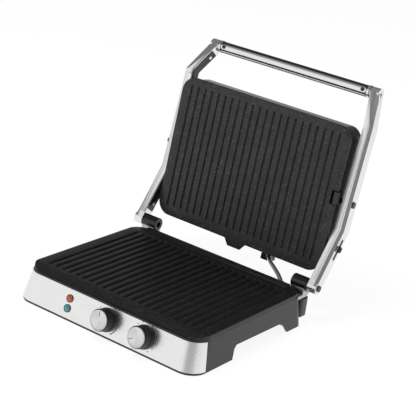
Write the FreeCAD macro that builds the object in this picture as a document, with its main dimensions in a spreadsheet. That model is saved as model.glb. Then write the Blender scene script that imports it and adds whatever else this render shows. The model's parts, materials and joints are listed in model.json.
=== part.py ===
"""Contact grill (panini press), lid open, as a parametric FreeCAD document.

Units are millimetres. +Z is up, X runs along the width, -Y is the front. The origin is the middle of the
footprint's box at table level. The lid's own pieces are drawn as they lie when the press is shut, in a lid
frame whose origin is the rear end of the upper grooves, and are then turned about X into the open pose.
"""
import FreeCAD, Part
import math
import os
import re
import Sketcher

os.makedirs("parts", exist_ok=True)

V = FreeCAD.Vector
doc = FreeCAD.newDocument("contact_grill")
sheet = doc.addObject("Spreadsheet::Sheet", "dims")

CELLS = {
    # ribbed plates
    "groove_pitch": 12.5, "groove_count": 22, "groove_wide": 4.5, "groove_deep": 2.6,
    "plate_thick": 5.6, "plate_corner": 22, "skirt_wall": 3.5,
    "plate_half": 151.5, "plate_front": -173.5, "plate_rear": 66.5, "plate_top": 51,
    "plate_lip": 13, "rear_rim": 10, "rear_rim_rise": 3,
    "lower_groove_front": -152.5, "lower_groove_long": 198,
    "skirt_half": 146, "skirt_front": -158, "skirt_rear": 44, "skirt_low": 38,
    "spout_reach": 8, "spout_half": 15,
    # upper plate, in the lid frame
    "upper_half": 148.5, "upper_front": -201, "upper_rear": 14.5, "upper_groove_long": 190,
    "upper_skirt_half": 134, "upper_skirt_front": -192.6, "upper_skirt_rear": 4, "upper_skirt_high": 13.6,
    "tab_root": 19, "tab_tip": 11, "tab_reach": 10, "tab_thick": 4,
    # base case
    "case_top": 45, "case_low": 1, "case_wall": 3,
    "case_top_half": 151.5, "case_low_half": 157, "case_top_front": -175.4, "case_low_front": -187.65,
    "case_top_rear": 64.5, "case_low_rear": 69.5, "front_corner": 26, "rear_corner": 14,
    "arch_front": -102, "arch_rear": 31.5, "arch_high": 19.5,
    "cover_thick": 2, "cover_low": 4, "cover_high": 22.5,
    "foot_radius": 9, "foot_x": 128, "foot_front": -160, "foot_rear": 57,
    # stainless front panel
    "panel_gap": 0.3, "panel_thick": 1.2, "panel_top": 43.2, "panel_low": 4.2, "panel_end": -156,
    "panel_lean": 15.56, "panel_mid_y": -182.36, "panel_mid_z": 25.4,
    # controls, placed along the panel
    "knob_radius": 15.5, "knob_deep": 17.4, "knob_gap": 1, "cap_radius": 14.1, "cap_deep": 2.4,
    "temperature_x": 3.5, "timer_x": 68, "knob_rise": -0.2, "shaft_radius": 3, "shaft_hole": 3.4,
    "lamp_x": -64.3, "lamp_radius": 4.6, "lamp_pitch": 14.1, "lamp_rise": -1.5, "bezel": 1.1,
    # heating elements
    "tube_radius": 3.2, "element_half": 100, "element_pitch": 44, "element_runs": 4,
    # lid hinge and arms
    "hinge_y": 82, "hinge_z": 56, "barrel_radius": 10, "barrel_in": 124.5, "barrel_out": 150.5,
    "pin_radius": 4, "running_gap": 0.05, "pin_head": 4.7, "head_thick": 1.6, "head_gap": 0.4,
    "arm_out": 166, "arm_in": 151.6, "arm_deep": 18, "arm_chamfer": 5, "toe_in": 17,
    "lower_bend_y": 134.8, "lower_bend_z": 129.6, "upper_bend_y": 166.6, "upper_bend_z": 279,
    "handle_y": 199, "handle_z": 318.5, "liner_thick": 1.8,
    "handle_radius": 8.6, "bolt_radius": 2.5, "strip_half": 129, "strip_high": 8.6, "strip_thick": 2,
    # floating lid
    "lid_lean": 98.2, "lid_y": 106.7, "lid_z": 80.4,
    "float_y": 141.5, "float_z": 169.3, "float_pin": 4,
    "lid_half": 146.5, "lid_front": -198.5, "lid_rear": 12, "lid_low": 6.2, "lid_high": 37,
    "lid_wall": 3, "lid_corner": 20, "cover_crown": 6, "skin_thick": 1.1,
    # upper plate release on the lid's right side
    "release_front": -109, "release_rear": -89, "release_deep": 5, "bush_radius": 7.2, "bush_long": 12.5,
    # lock slider on the right arm
    "lock_slot_long": 33, "lock_slot_wide": 4.6, "lock_along": 62.5, "lock_back": 1.4,
    # drip tray at the rear
    "tray_half": 149, "tray_front": 71.5, "tray_rear": 90.5, "tray_low": 7, "tray_high": 35.5,
    "tray_wall": 1.6, "tongue_x": 105, "tongue_half": 9, "tongue_long": 38, "tongue_thick": 3,
    # lid lead conduit
    "conduit_radius": 3.25,
}

for row, (alias, number) in enumerate(CELLS.items(), start=1):
    cell = f"A{row}"
    sheet.set(cell, str(number))
    sheet.setAlias(cell, alias)
doc.recompute()

NAMES = re.compile(r"\b(" + "|".join(sorted(CELLS, key=len, reverse=True)) + r")\b")
SUB_PARTS = []


# ---------------------------------------------------------------- helpers

def bound(expression):
    """The expression with every driving dimension named through the sheet."""
    return NAMES.sub(r"dims.\1", str(expression))


def value(expression):
    """The expression's number, in millimetres or degrees."""
    return float(sheet.evalExpression(bound(expression)))


def bind(target, **properties):
    """Binds properties of a document object to expressions of the sheet."""
    for name, expression in properties.items():
        target.setExpression(name.replace("__", "."), bound(expression))
    return target


def set_place(target, x="0", y="0", z="0"):
    return bind(target, Placement__Base__x=x, Placement__Base__y=y, Placement__Base__z=z)


def box(name, x, y, z):
    """A block between pairs of coordinates, each an expression."""
    block = doc.addObject("Part::Box", name)
    bind(block, Length=f"({x[1]}) - ({x[0]})", Width=f"({y[1]}) - ({y[0]})", Height=f"({z[1]}) - ({z[0]})")
    return set_place(block, x[0], y[0], z[0])


def cylinder(name, radius, length, at, axis=V(0, 0, 1)):
    """A cylinder whose base circle is centred at `at`, running along axis."""
    rod = doc.addObject("Part::Cylinder", name)
    rod.Placement = FreeCAD.Placement(V(), FreeCAD.Rotation(V(0, 0, 1), axis))
    bind(rod, Radius=radius, Height=length)
    return set_place(rod, *at)


def cut(name, base, *tools):
    for number, tool in enumerate(tools):
        step = doc.addObject("Part::Cut", f"{name}_cut{number}")
        step.Base, step.Tool = base, tool
        base = step
    return base


def fuse(name, *pieces):
    joined = doc.addObject("Part::MultiFuse", name)
    joined.Shapes, joined.Refine = list(pieces), True
    return joined


def group(name, *pieces):
    """Separate solids that share one node."""
    together = doc.addObject("Part::Compound", name)
    together.Links = list(pieces)
    return together


def sub_part(label, source):
    """Marks a finished object as the sub-part that is written under this name."""
    source.Label = label
    SUB_PARTS.append(source)
    return source


def origin_plane(body, role):
    return next(p for p in body.Origin.OriginFeatures if p.Role == role)


def outline(body, role, corners, offset="0"):
    """A closed outline of straight lines on an origin plane, every corner bound to the sheet."""
    sketch = body.newObject("Sketcher::SketchObject", "outline")
    sketch.AttachmentSupport = [(origin_plane(body, role), "")]
    sketch.MapMode = "FlatFace"
    sketch.setExpression("AttachmentOffset.Base.z", bound(offset))
    points = [V(value(a), value(b), 0) for a, b in corners]
    count = len(points)
    for number in range(count):
        sketch.addGeometry(Part.LineSegment(points[number], points[(number + 1) % count]), False)
    for number in range(count):
        sketch.addConstraint(Sketcher.Constraint("Coincident", number, 2, (number + 1) % count, 1))
    for number, (a, b) in enumerate(corners):
        for kind, expression, number_value in (("DistanceX", a, points[number].x),
                                               ("DistanceY", b, points[number].y)):
            index = sketch.addConstraint(Sketcher.Constraint(kind, -1, 1, number, 1, number_value))
            sketch.setExpression(f"Constraints[{index}]", bound(expression))
    return sketch


def rectangle(x0, x1, y0, y1):
    return [(x0, y0), (x1, y0), (x1, y1), (x0, y1)]


def pad(body, sketch, length, symmetric=False, back=False):
    feature = body.newObject("PartDesign::Pad", "pad")
    feature.Profile = sketch
    feature.Midplane, feature.Reversed = symmetric, back
    feature.setExpression("Length", bound(length))
    return feature


def pocket(body, sketch, length=None, back=False):
    """Cuts along the sketch's axis: one way by a length, or both ways through everything."""
    feature = body.newObject("PartDesign::Pocket", "pocket")
    feature.Profile = sketch
    if length is None:
        feature.Type, feature.Midplane = "ThroughAll", True
    else:
        feature.Reversed = back
        feature.setExpression("Length", bound(length))
    return feature


def upright_edges(shape, lean=0.35):
    """The names of edges that run up the shape, within a small lean."""
    names = []
    for number, edge in enumerate(shape.Edges, start=1):
        if len(edge.Vertexes) == 2:
            ends = edge.Vertexes[1].Point - edge.Vertexes[0].Point
            straight = edge.Length < ends.Length + 0.001
            if straight and abs(ends.z) > 1 and math.hypot(ends.x, ends.y) < lean * abs(ends.z):
                names.append((f"Edge{number}", edge.CenterOfMass))
    return names


def round_corners(body, radius, chosen=lambda middle: True):
    """Rounds the upright corners whose middles are chosen."""
    doc.recompute()
    tip = body.Tip
    names = [name for name, middle in upright_edges(tip.Shape) if chosen(middle)]
    feature = body.newObject("PartDesign::Fillet", "corners")
    feature.Base = (tip, names)
    feature.setExpression("Radius", bound(radius))
    return feature


def slab(label, x, y, z, corner=None):
    """A PartDesign block between coordinates, with rounded upright corners."""
    body = doc.addObject("PartDesign::Body", label)
    pad(body, outline(body, "XY_Plane", rectangle(x[0], x[1], y[0], y[1]), z[0]), f"({z[1]}) - ({z[0]})")
    if corner:
        round_corners(body, corner)
    return body


def wedge(body, low, high):
    """A block whose four sides lean: low and high give (half width, front, rear, level)."""
    feature = body.newObject("PartDesign::AdditiveWedge", "wedge")
    feature.Placement = FreeCAD.Placement(V(), FreeCAD.Rotation(V(1, 0, 0), 90))
    (half, front, rear, level), (half2, front2, rear2, level2) = low, high
    return bind(feature, Xmin=f"-({half})", Xmax=half, Zmin=f"-({rear})", Zmax=f"-({front})", Ymin=level,
                X2min=f"-({half2})", X2max=half2, Z2min=f"-({rear2})", Z2max=f"-({front2})", Ymax=level2)


def panel_place(along, out, rise):
    """A point on the leaning front: x, distance out of it, and distance up it from its middle."""
    lean = math.radians(value("panel_lean"))
    return V(value(along),
             value("panel_mid_y") - out * math.cos(lean) + rise * math.sin(lean),
             value("panel_mid_z") + out * math.sin(lean) + rise * math.cos(lean))


PANEL_AXIS = V(0, -math.cos(math.radians(value("panel_lean"))), math.sin(math.radians(value("panel_lean"))))


def panel_rod(name, radius, along, rise, start, end):
    """A cylinder square to the leaning front, from start to end millimetres out of its surface."""
    rod = doc.addObject("Part::Cylinder", name)
    rod.Placement = FreeCAD.Placement(panel_place(along, start, value(rise)),
                                      FreeCAD.Rotation(V(0, 0, 1), PANEL_AXIS))
    return bind(rod, Radius=radius, Height=str(end - start))


def solid_feature(name, shape):
    feature = doc.addObject("Part::Feature", name)
    feature.Shape = shape
    return feature


LID_TURN = FreeCAD.Rotation(V(1, 0, 0), -value("lid_lean"))
LID_PLACE = FreeCAD.Placement(V(0, value("lid_y"), value("lid_z")), LID_TURN)


def on_lid(label, source):
    """Turns a piece drawn in the lid frame into the open pose, as a sub-part."""
    carried = doc.addObject("Part::Compound", label)
    carried.Links = [source]
    carried.Placement = FreeCAD.Placement(V(), FreeCAD.Rotation(V(-1, 0, 0), value("lid_lean")))
    carried.setExpression("Placement.Rotation.Angle", "dims.lid_lean * 1 deg")
    set_place(carried, "0", "lid_y", "lid_z")
    return sub_part(label, carried)


# ---------------------------------------------------------------- lower plate

def cut_grooves(body, front, length, from_top, surface):
    """Parallel grooves along Y, evenly spaced about the middle."""
    first = "-(groove_count - 1) / 2 * groove_pitch"
    left, right = f"{first} - groove_wide / 2", f"{first} + groove_wide / 2"
    sketch = outline(body, "XY_Plane", rectangle(left, right, front, f"{front} + {length}"), surface)
    groove = pocket(body, sketch, "groove_deep", back=not from_top)
    pattern = body.newObject("PartDesign::LinearPattern", "grooves")
    pattern.Originals = [groove]
    pattern.Direction = (sketch, ["H_Axis"])
    pattern.setExpression("Length", bound("(groove_count - 1) * groove_pitch"))
    pattern.Occurrences = int(value("groove_count"))
    body.Tip = pattern
    return pattern


def skirt_frame(body, half, front, rear, low, high):
    """A rectangular wall under a plate, drawn as a padded ring."""
    inner_half, inner_front, inner_rear = f"{half} - skirt_wall", f"{front} + skirt_wall", f"{rear} - skirt_wall"
    pad(body, outline(body, "XY_Plane", rectangle(f"-({half})", half, front, rear), low), f"{high} - ({low})")
    pocket(body, outline(body, "XY_Plane", rectangle(f"-({inner_half})", inner_half, inner_front, inner_rear), low),
           f"{high} - ({low})", back=True)


def make_lower_plate():
    body = slab("lower_plate_slab", ("-plate_half", "plate_half"), ("plate_front", "plate_rear"),
                ("plate_top - plate_thick", "plate_top"), "plate_corner")
    lip = [("plate_front - 1", "plate_top + 1"), ("plate_front + plate_lip", "plate_top + 1"),
           ("plate_front + plate_lip", "plate_top"), ("plate_front - 1", "plate_top - plate_thick + 0.9")]
    pocket(body, outline(body, "YZ_Plane", lip))
    cut_grooves(body, "lower_groove_front", "lower_groove_long", True, "plate_top")
    rim = rectangle("-plate_half + plate_corner", "plate_half - plate_corner",
                    "plate_rear - rear_rim", "plate_rear")
    pad(body, outline(body, "XY_Plane", rim, "plate_top"), "rear_rim_rise")
    spout = [("-spout_half", "plate_rear - 1"), ("spout_half", "plate_rear - 1"),
             ("spout_half - 5", "plate_rear + spout_reach"), ("-spout_half + 5", "plate_rear + spout_reach")]
    pad(body, outline(body, "XY_Plane", spout, "plate_top - plate_thick"), "3")
    skirt = doc.addObject("PartDesign::Body", "lower_plate_skirt")
    skirt_frame(skirt, "skirt_half", "skirt_front", "skirt_rear", "skirt_low", "plate_top - plate_thick")
    sub_part("lower_plate", fuse("lower_plate_whole", body, skirt))


def make_upper_plate():
    body = slab("upper_plate_slab", ("-upper_half", "upper_half"), ("upper_front", "upper_rear"),
                ("0", "plate_thick"), "plate_corner")
    cut_grooves(body, "-upper_groove_long", "upper_groove_long", False, "0")
    tab = [("-tab_root", "upper_rear - 1"), ("tab_root", "upper_rear - 1"),
           ("tab_tip", "upper_rear + tab_reach"), ("-tab_tip", "upper_rear + tab_reach")]
    pad(body, outline(body, "XY_Plane", tab, "0"), "tab_thick")
    notch = rectangle("lid_half - 7.3", "upper_half + 2", "release_front", "release_rear")
    pocket(body, outline(body, "XY_Plane", notch, "0"), "plate_thick + 1", back=True)
    skirt = doc.addObject("PartDesign::Body", "upper_plate_skirt")
    skirt_frame(skirt, "upper_skirt_half", "upper_skirt_front", "upper_skirt_rear", "plate_thick",
                "upper_skirt_high")
    on_lid("upper_plate", fuse("upper_plate_whole", body, skirt))


# ---------------------------------------------------------------- base

def case_section(wall, level):
    """The case's leaning outer form at a level, drawn in by wall on every side."""
    share = f"(({level}) - case_low) / (case_top - case_low)"
    return (f"case_low_half + (case_top_half - case_low_half) * {share} - ({wall})",
            f"case_low_front + (case_top_front - case_low_front) * {share} + ({wall})",
            f"case_low_rear + (case_top_rear - case_low_rear) * {share} - ({wall})", level)


def case_solid(label, wall, low, high, front_corner, rear_corner):
    body = doc.addObject("PartDesign::Body", label)
    wedge(body, case_section(wall, low), case_section(wall, high))
    round_corners(body, front_corner, lambda middle: middle.y < 0)
    round_corners(body, rear_corner, lambda middle: middle.y > 0)
    return body


# Each opening in the front: place along it, height on it, and radius in the panel.
PANEL_HOLES = [
    ("temperature_x", "knob_rise", "shaft_hole"), ("timer_x", "knob_rise", "shaft_hole"),
    ("lamp_x", "lamp_rise + lamp_pitch / 2", "lamp_radius + 0.4"),
    ("lamp_x", "lamp_rise - lamp_pitch / 2", "lamp_radius + 0.4"),
]


def panel_holes(word, wider):
    return [panel_rod(f"{word}_hole_{number}", f"{radius} + {wider}", along, rise, -14, 3)
            for number, (along, rise, radius) in enumerate(PANEL_HOLES)]


def make_base_housing():
    outside = case_solid("case_outside", "0", "case_low", "case_top", "front_corner", "rear_corner")
    inside = case_solid("case_inside", "case_wall", "case_low - 5", "case_top + 5",
                        "front_corner - case_wall", "rear_corner - case_wall")
    arch = doc.addObject("PartDesign::Body", "case_arch")
    sketch = outline(arch, "YZ_Plane", [("arch_front", "-1"), ("arch_front + 5", "arch_high - 4"),
                                        ("arch_front + 10", "arch_high"), ("arch_rear - 19", "arch_high - 1.5"),
                                        ("arch_rear - 12", "arch_high - 5"), ("arch_rear", "-1")])
    pad(arch, sketch, "400", symmetric=True)
    notches = [box(f"bracket_notch{side}", (f"{side} * 137.5 - 11.4", f"{side} * 137.5 + 11.4"),
                   ("54", "72"), ("37", "case_top + 5")) for side in (-1, 1)]
    slots = [box(f"tongue_slot{side}", (f"{side} * tongue_x - tongue_half - 0.6",
                                         f"{side} * tongue_x + tongue_half + 0.6"),
                 ("54", "76"), ("tray_low + 4.4", "tray_low + tongue_thick + 5.6")) for side in (-1, 1)]
    lead = box("lead_hole", ("104.5", "122.5"), ("54", "76"), ("34.6", "case_top + 5"))
    whole = cut("case", outside, inside, arch, *notches, *slots, lead, *panel_holes("case", 1))
    sub_part("base_housing", whole)


def make_front_panel():
    outer = case_solid("panel_outside", "-panel_gap - panel_thick", "panel_low", "panel_top",
                       "front_corner + panel_gap + panel_thick", "rear_corner")
    inner = case_solid("panel_inside", "-panel_gap", "case_low - 5", "case_top + 5",
                       "front_corner + panel_gap", "rear_corner")
    rest = doc.addObject("PartDesign::Body", "panel_behind")
    sketch = outline(rest, "YZ_Plane", [("panel_end - 8", "-5"), ("200", "-5"), ("200", "60"), ("panel_end", "60")])
    pad(rest, sketch, "400", symmetric=True)
    sub_part("front_panel", cut("panel", outer, inner, rest, *panel_holes("panel", 0)))


def make_bottom_cover():
    body = doc.addObject("PartDesign::Body", "bottom_sheet")
    low, high, thick = "cover_low", "cover_high", "cover_thick"
    path = [("case_low_front", low), ("arch_front - 5", low), ("arch_front + 6", high),
            ("arch_rear - 16", high), ("arch_rear + 4", low), ("case_low_rear", low)]
    upper = [(y, f"{z} + {thick}") for y, z in reversed(path)]
    pad(body, outline(body, "YZ_Plane", path + upper), "2 * case_low_half", symmetric=True)
    reach = case_solid("bottom_reach", "case_wall + 0.4", "case_low", "case_top", "front_corner - case_wall",
                       "rear_corner - case_wall")
    trimmed = doc.addObject("Part::Common", "bottom_trimmed")
    trimmed.Base, trimmed.Tool = body, reach
    hole = cylinder("cord_hole", "7.2", "20", ("-96", "0", "15"))
    sub_part("bottom_cover", cut("bottom_cover_whole", trimmed, hole))


def make_feet():
    feet = []
    for x in ("-foot_x", "foot_x"):
        for y in ("foot_front", "foot_rear"):
            feet.append(cylinder("foot", "foot_radius", "cover_low", (x, y, "0")))
    sub_part("rubber_feet", group("feet", *feet))


def make_drip_tray():
    """A trough behind the base whose two tongues slide in guides of the case."""
    wall = "tray_wall"
    outer = slab("drip_tray_outer", ("-tray_half", "tray_half"), ("tray_front", "tray_rear"),
                 ("tray_low", "tray_high"), "5")
    inner = slab("drip_tray_inner", (f"-tray_half + {wall}", f"tray_half - {wall}"),
                 (f"tray_front + {wall}", f"tray_rear - {wall}"), (f"tray_low + {wall}", "tray_high + 5"), "3.4")
    lip = box("drip_tray_lip", ("-tray_half + 6", "tray_half - 6"), ("tray_rear - 0.5", "tray_rear + 1.5"),
              ("tray_high - 3", "tray_high"))
    tongues = [box(f"tongue{side}", (f"{side} * tongue_x - tongue_half", f"{side} * tongue_x + tongue_half"),
                   ("tray_front - tongue_long", "tray_front + 1"),
                   ("tray_low + 5", "tray_low + 5 + tongue_thick")) for side in (-1, 1)]
    sub_part("drip_tray", fuse("drip_tray_whole", cut("drip_tray_trough", outer, inner), lip, *tongues))


def run_element(name, level, start):
    """A sheathed tube folded into parallel runs along X, joined by half rings."""
    pieces, runs = [], int(value("element_runs"))
    for run in range(runs):
        y = f"{start} + {run} * element_pitch"
        pieces.append(cylinder(f"{name}_run", "tube_radius", "2 * element_half", ("-element_half", y, level),
                               V(1, 0, 0)))
    for bend in range(runs - 1):
        side = 1 if bend % 2 == 0 else -1
        ring = doc.addObject("Part::Torus", f"{name}_bend")
        ring.Placement = FreeCAD.Placement(V(), FreeCAD.Rotation(V(0, 0, 1), -90 * side))
        ring.Angle3 = 180
        bind(ring, Radius1="element_pitch / 2", Radius2="tube_radius")
        set_place(ring, f"{side} * element_half", f"{start} + ({bend} + 0.5) * element_pitch", level)
        pieces.append(ring)
    return fuse(name, *pieces)


def make_lower_heater():
    sub_part("lower_heating_element", run_element("lower_element", "plate_top - plate_thick - tube_radius - 0.05",
                                                  "-122"))
    outer = slab("lower_reflector_outer", ("-138", "138"), ("-150", "36"), ("29.5", "38.5"), "8")
    inner = slab("lower_reflector_inner", ("-137", "137"), ("-149", "35"), ("30.5", "50"), "7")
    sub_part("lower_reflector", cut("lower_reflector_whole", outer, inner))


def make_inner_works():
    """Behind the front: a thermostat and a timer, each a case with a shaft out through the panel."""
    for label, along, half, deep in (("thermostat", "temperature_x", 15, 13), ("timer", "timer_x", 17, 15)):
        block = doc.addObject("Part::Box", f"{label}_block")
        corner = panel_place(f"{along} - {half}", -4.7 - deep, value("knob_rise") - 12.5)
        block.Placement = FreeCAD.Placement(corner, FreeCAD.Rotation(V(1, 0, 0), -value("panel_lean")))
        bind(block, Length=str(2 * half), Width=str(deep), Height="25")
        block.Placement.Base = corner - PANEL_AXIS * -deep
        shaft = panel_rod(f"{label}_shaft", "shaft_radius", along, "knob_rise", -5, 13)
        sub_part(label, fuse(f"{label}_whole", block, shaft))


def make_controls():
    """Each knob is a ribbed black body with a spun metal face cap."""
    for label, along in (("timer", "timer_x"), ("temperature", "temperature_x")):
        gap, deep = value("knob_gap"), value("knob_deep")
        drum = panel_rod(f"{label}_drum", "knob_radius", along, "knob_rise", gap, deep)
        skirt = panel_rod(f"{label}_flange", "knob_radius + 1", along, "knob_rise", gap, gap + 2.4)
        bore = panel_rod(f"{label}_bore", "shaft_radius + running_gap", along, "knob_rise", 0, 14)
        seat = panel_rod(f"{label}_seat", "cap_radius", along, "knob_rise", deep - 1, deep + 5)
        sub_part(f"{label}_knob", cut(f"{label}_body", fuse(f"{label}_turned", drum, skirt), bore, seat))
        cap = panel_rod(f"{label}_disc", "cap_radius", along, "knob_rise", deep - 1, deep - 1 + value("cap_deep"))
        doc.recompute()
        face_centre = panel_place(along, deep - 1 + value("cap_deep"), value("knob_rise"))
        rim = [number for number, edge in enumerate(cap.Shape.Edges, start=1)
               if isinstance(edge.Curve, Part.Circle) and (edge.Curve.Center - face_centre).Length < 0.1]
        edge = doc.addObject("Part::Chamfer", f"{label}_cap_edge")
        edge.Base = cap
        edge.Edges = [(number, 0.6, 0.6) for number in rim]
        sub_part(f"{label}_knob_cap", edge)


def make_lamps():
    bezels = []
    for label, sign in (("orange_lamp", "+"), ("green_lamp", "-")):
        rise = f"lamp_rise {sign} lamp_pitch / 2"
        lens = panel_rod(f"{label}_lens", "lamp_radius", "lamp_x", rise, -8, 0.8)
        dome = doc.addObject("Part::Sphere", f"{label}_dome")
        dome.Placement = FreeCAD.Placement(panel_place("lamp_x", -2.9, value(rise)), FreeCAD.Rotation())
        bind(dome, Radius="lamp_radius + 0.9")
        reach = panel_rod(f"{label}_reach", "lamp_radius", "lamp_x", rise, -8, 6)
        bulb = doc.addObject("Part::Common", f"{label}_domed")
        bulb.Base, bulb.Tool = dome, reach
        sub_part(label, fuse(f"{label}_whole", lens, bulb))
        ring = panel_rod(f"{label}_ring", "lamp_radius + bezel", "lamp_x", rise, 0.02, 0.9)
        hole = panel_rod(f"{label}_ring_hole", "lamp_radius + 0.05", "lamp_x", rise, 0, 5)
        bezels.append(cut(f"{label}_bezel", ring, hole))
    sub_part("lamp_bezels", group("bezels", *bezels))


# ---------------------------------------------------------------- hinge and arms

def make_hinge():
    """Brackets bolted inside the case's rear wall carry a barrel each, and a pin for each arm."""
    axis = V(1, 0, 0)
    pins = []
    for side, word in ((-1, "left"), (1, "right")):
        near, far = sorted((side * value("barrel_in"), side * value("barrel_out")))
        barrel = cylinder(f"{word}_barrel", "barrel_radius", "barrel_out - barrel_in",
                          (str(near), "hinge_y", "hinge_z"), axis)
        bore = cylinder(f"{word}_barrel_bore", "pin_radius", "60", (str(near - 10), "hinge_y", "hinge_z"), axis)
        relief = cylinder(f"{word}_bracket_relief", "barrel_radius", "60", (str(near - 10), "hinge_y", "hinge_z"),
                          axis)
        body = doc.addObject("PartDesign::Body", f"{word}_bracket_block")
        sketch = outline(body, "YZ_Plane",
                         [("49", "37.6"), ("hinge_y + 2", "37.6"), ("hinge_y + 8.5", "43.5"),
                          ("hinge_y + 8.5", "hinge_z"), ("hinge_y - 8.5", "hinge_z"),
                          ("hinge_y - 11", "43"), ("49", "43")], f"{(near + far) / 2}")
        pad(body, sketch, "22", symmetric=True)
        sub_part(f"{word}_hinge_bracket", cut(f"{word}_bracket", body, relief))
        sub_part(f"{word}_hinge_barrel", cut(f"{word}_barrel_bored", barrel, bore))
        shank_from = side * (value("barrel_in") + 4)
        shank_to = side * (value("arm_out") + value("head_gap"))
        head_to = side * (value("arm_out") + value("head_gap") + value("head_thick"))
        shank = cylinder(f"{word}_pin_shank", "pin_radius", str(abs(shank_to - shank_from)),
                         (str(min(shank_from, shank_to)), "hinge_y", "hinge_z"), axis)
        head = cylinder(f"{word}_pin_head", "pin_head", str(abs(head_to - shank_to)),
                        (str(min(head_to, shank_to)), "hinge_y", "hinge_z"), axis)
        pins.append(fuse(f"{word}_pin", shank, head))
    sub_part("hinge_pins", group("pins", *pins))


def arm_path():
    """The arm's centre line in the YZ plane, from the hinge to the handle."""
    return [(value("hinge_y"), value("hinge_z")), (value("lower_bend_y"), value("lower_bend_z")),
            (value("upper_bend_y"), value("upper_bend_z")), (value("handle_y"), value("handle_z"))]


def bar_sections(path, deep, corners):
    """Sections square to a bent path; corners gives (x, across) pairs for a section's number."""
    wires = []
    for number, (y, z) in enumerate(path):
        before, after = path[max(number - 1, 0)], path[min(number + 1, len(path) - 1)]
        run_in = FreeCAD.Vector(0, y - before[0], z - before[1])
        run_out = FreeCAD.Vector(0, after[0] - y, after[1] - z)
        if number == 0:
            run_in = run_out
        if number == len(path) - 1:
            run_out = run_in
        run_in.normalize(), run_out.normalize()
        along = (run_in + run_out).normalize()
        stretch = 1 / max(along.dot(run_in), 0.5)
        across = V(0, along.z, -along.y)
        points = [V(x, y, z) + across * (share * deep * stretch) for x, share in corners(number)]
        wires.append(Part.makePolygon(points + [points[0]]))
    return wires


def bent_bar(path, deep, corners):
    """A solid bar of straight runs through the sections, each run a loft of its own."""
    wires = bar_sections(path, deep, corners)
    runs = [Part.makeLoft([wires[n], wires[n + 1]], True, True) for n in range(len(wires) - 1)]
    whole = runs[0]
    for run in runs[1:]:
        whole = whole.fuse(run)
    return whole


def make_arms():
    deep, chamfer = value("arm_deep"), value("arm_chamfer")
    outer, inner, toe = value("arm_out"), value("arm_in"), value("toe_in")
    path = arm_path()
    hinge, handle = path[0], path[-1]
    inward = [0, 0, 0, toe]
    bolts = []
    for side, word in ((-1, "left"), (1, "right")):

        def arm_corners(number, side=side):
            x_out, x_in = side * (outer - inward[number]), side * (inner - inward[number])
            x_edge = x_out - side * chamfer
            share = 0.5 - 0.45 * chamfer / deep
            return [(x_in, -0.5), (x_edge, -0.5), (x_out, -share), (x_out, 0.5), (x_in, 0.5)]

        liner_path = shortened(path, 16, 14)
        top_run = math.dist(path[2], path[3])
        liner_inward = [0, 0, 0, toe * (1 - 14 / top_run)]

        def liner_corners(number, side=side):
            x_out = side * (inner - 0.15 - liner_inward[number])
            x_in = x_out - side * value("liner_thick")
            return [(x_in, -0.40), (x_out, -0.40), (x_out, 0.40), (x_in, 0.40)]

        bar = bent_bar(path, deep, arm_corners)
        for (y, z), number in ((hinge, 0), (handle, 3)):
            x_low = min(side * (inner - inward[number]), side * (outer - inward[number]))
            end = Part.makeCylinder(deep / 2, outer - inner, V(x_low, y, z), V(1, 0, 0))
            bar = bar.fuse(end)
        bar = bar.removeSplitter()
        holes = [Part.makeCylinder(value("pin_radius + running_gap"), 60, V(side * outer - 30, *hinge), V(1, 0, 0)),
                 Part.makeCylinder(value("float_pin + running_gap"), 60,
                                   V(side * outer - 30, value("float_y"), value("float_z")), V(1, 0, 0))]
        bolt_x = side * (outer - toe - 3)
        outward = V(side, 0, 0)
        holes.append(Part.makeCylinder(value("bolt_radius") + 0.1, 6, V(bolt_x, *handle), outward))
        if side > 0:
            holes.append(lock_slot(60, value("lock_slot_wide / 2")))
        for hole in holes:
            bar = bar.cut(hole)
        bolts.append(solid_feature("handle_bolt", Part.makeCylinder(value("bolt_radius"), 2.4, V(bolt_x, *handle),
                                                                    outward)))
        sub_part(f"{word}_arm", solid_feature(f"{word}_arm_bar", bar))
        liner = bent_bar(liner_path, deep, liner_corners)
        liner_holes = [Part.makeCylinder(value("float_pin") + 0.5, 60,
                                         V(side * outer - 30, value("float_y"), value("float_z")), V(1, 0, 0))]
        if side > 0:
            liner_holes.append(lock_slot(60, value("lock_slot_wide / 2") + 0.6))
        for hole in liner_holes:
            liner = liner.cut(hole)
        sub_part(f"{word}_arm_liner", solid_feature(f"{word}_arm_liner_strip", liner))
    sub_part("handle_bolts", group("handle_bolt_pair", *bolts))


def shortened(path, at_start, at_end):
    """The same path with its first and last runs cut back."""
    ends = []
    for near, next_one, away in ((path[0], path[1], at_start), (path[-1], path[-2], at_end)):
        run = V(0, next_one[0] - near[0], next_one[1] - near[1])
        share = away / run.Length
        ends.append((near[0] + run.y * share, near[1] + run.z * share))
    return [ends[0], *path[1:-1], ends[1]]


def lower_run():
    """Start and unit direction of the lock's line, which runs beside the centre line of the arm's lowest run."""
    (y0, z0), (y1, z1) = arm_path()[:2]
    along = V(0, y1 - y0, z1 - z0).normalize()
    return V(0, y0, z0) + V(0, along.z, -along.y) * value("lock_back"), along


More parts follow.
